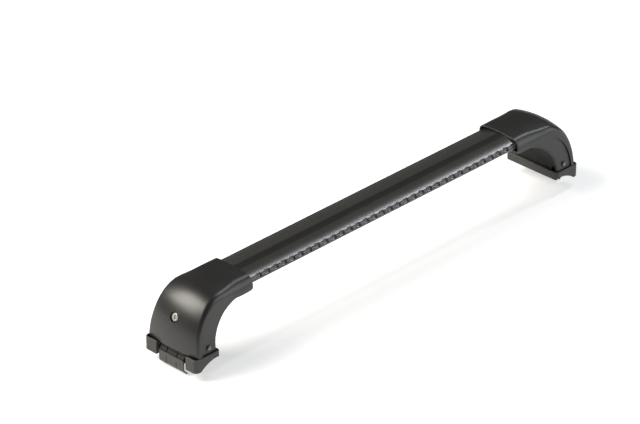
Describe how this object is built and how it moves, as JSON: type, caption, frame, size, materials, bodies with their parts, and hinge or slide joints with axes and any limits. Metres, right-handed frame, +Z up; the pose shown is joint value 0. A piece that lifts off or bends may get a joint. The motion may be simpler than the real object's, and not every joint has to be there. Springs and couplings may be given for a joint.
{
  "type": "roof rack crossbar",
  "caption": "Wing-section roof rack crossbar with a rubber-filled T-track between two lockable clamp feet that grip a raised roof rail.",
  "frame": {"origin": "middle of the crossbar in plan, at the height of the lowest edge of the two claws", "axes": "X along the bar, Z up, -Y towards the leading edge with the dimples"},
  "size_m": [0.928, 0.12, 0.1357],
  "materials": {
    "bar": "satin black powder coat",
    "strip_rubber": "matt",
    "cover_plastic": "fine grained satin",
    "cast_black": "satin black powder coat",
    "pad_rubber": "matt",
    "claw_steel": "satin black coat",
    "pin_steel": "black",
    "zinc_steel": "zinc plated",
    "lock_metal": "satin nickel"
  },
  "bodies": {
    "bar_and_feet": {"bar": "bar", "track_strip": "strip_rubber", "foot_cover_right": "cover_plastic", "foot_casting_right": "cast_black", "rubber_pad_right": "pad_rubber", "pivot_pin_right": "pin_steel", "thrust_washer_right": "zinc_steel", "nut_plate_right": "zinc_steel", "bar_screws_right": "zinc_steel", "foot_cover_left": "cover_plastic", "foot_casting_left": "cast_black", "rubber_pad_left": "pad_rubber", "pivot_pin_left": "pin_steel", "thrust_washer_left": "zinc_steel", "nut_plate_left": "zinc_steel", "bar_screws_left": "zinc_steel"},
    "claw_right": {"claw_lever_right": "claw_steel"},
    "nut_right": {"barrel_nut_right": "zinc_steel"},
    "screw_right": {"tension_screw_right": "zinc_steel"},
    "lock_right": {"lock_plug_right": "cast_black"},
    "core_right": {"lock_core_right": "lock_metal", "lock_cam_right": "zinc_steel"},
    "claw_left": {"claw_lever_left": "claw_steel"},
    "nut_left": {"barrel_nut_left": "zinc_steel"},
    "screw_left": {"tension_screw_left": "zinc_steel"},
    "lock_left": {"lock_plug_left": "cast_black"},
    "core_left": {"lock_core_left": "lock_metal", "lock_cam_left": "zinc_steel"}
  },
  "joints": [
    {"name": "claw_swing_right", "type": "hinge", "parent": "bar_and_feet", "child": "claw_right", "pos_m": [0.43, 0, 0.05], "axis": [0, 1, 0], "range_deg": [-4, 7]},
    {"name": "nut_travel_right", "type": "slide", "parent": "bar_and_feet", "child": "nut_right", "axis": [0.9397, 0, 0.342], "range_m": [-0.00237, 0.00415]},
    {"name": "screw_turn_right", "type": "hinge", "parent": "bar_and_feet", "child": "screw_right", "pos_m": [0.4495, 0, 0.0932], "axis": [0.9397, 0, 0.342], "range_deg": [-852.6, 1492.1]},
    {"name": "lock_pull_right", "type": "slide", "parent": "bar_and_feet", "child": "lock_right", "axis": [0.9397, 0, 0.342], "range_m": [0, 0.008]},
    {"name": "key_turn_right", "type": "hinge", "parent": "lock_right", "child": "core_right", "pos_m": [0.4495, 0, 0.0932], "axis": [0.9397, 0, 0.342], "range_deg": [-90, 0]},
    {"name": "claw_swing_left", "type": "hinge", "parent": "bar_and_feet", "child": "claw_left", "pos_m": [-0.43, 0, 0.05], "axis": [0, -1, 0], "range_deg": [-4, 7]},
    {"name": "nut_travel_left", "type": "slide", "parent": "bar_and_feet", "child": "nut_left", "axis": [-0.9397, 0, 0.342], "range_m": [-0.00237, 0.00415]},
    {"name": "screw_turn_left", "type": "hinge", "parent": "bar_and_feet", "child": "screw_left", "pos_m": [-0.4495, 0, 0.0932], "axis": [-0.9397, 0, 0.342], "range_deg": [-852.6, 1492.1]},
    {"name": "lock_pull_left", "type": "slide", "parent": "bar_and_feet", "child": "lock_left", "axis": [-0.9397, 0, 0.342], "range_m": [0, 0.008]},
    {"name": "key_turn_left", "type": "hinge", "parent": "lock_left", "child": "core_left", "pos_m": [-0.4495, 0, 0.0932], "axis": [-0.9397, 0, 0.342], "range_deg": [0, 90]}
  ],
  "couplings": [
    {"joint": "screw_turn_right", "follows": "claw_swing_right", "ratio": 213.16},
    {"joint": "nut_travel_right", "follows": "claw_swing_right", "m_per_rad": 0.033925},
    {"joint": "screw_turn_left", "follows": "claw_swing_left", "ratio": 213.16},
    {"joint": "nut_travel_left", "follows": "claw_swing_left", "m_per_rad": 0.033925}
  ]
}
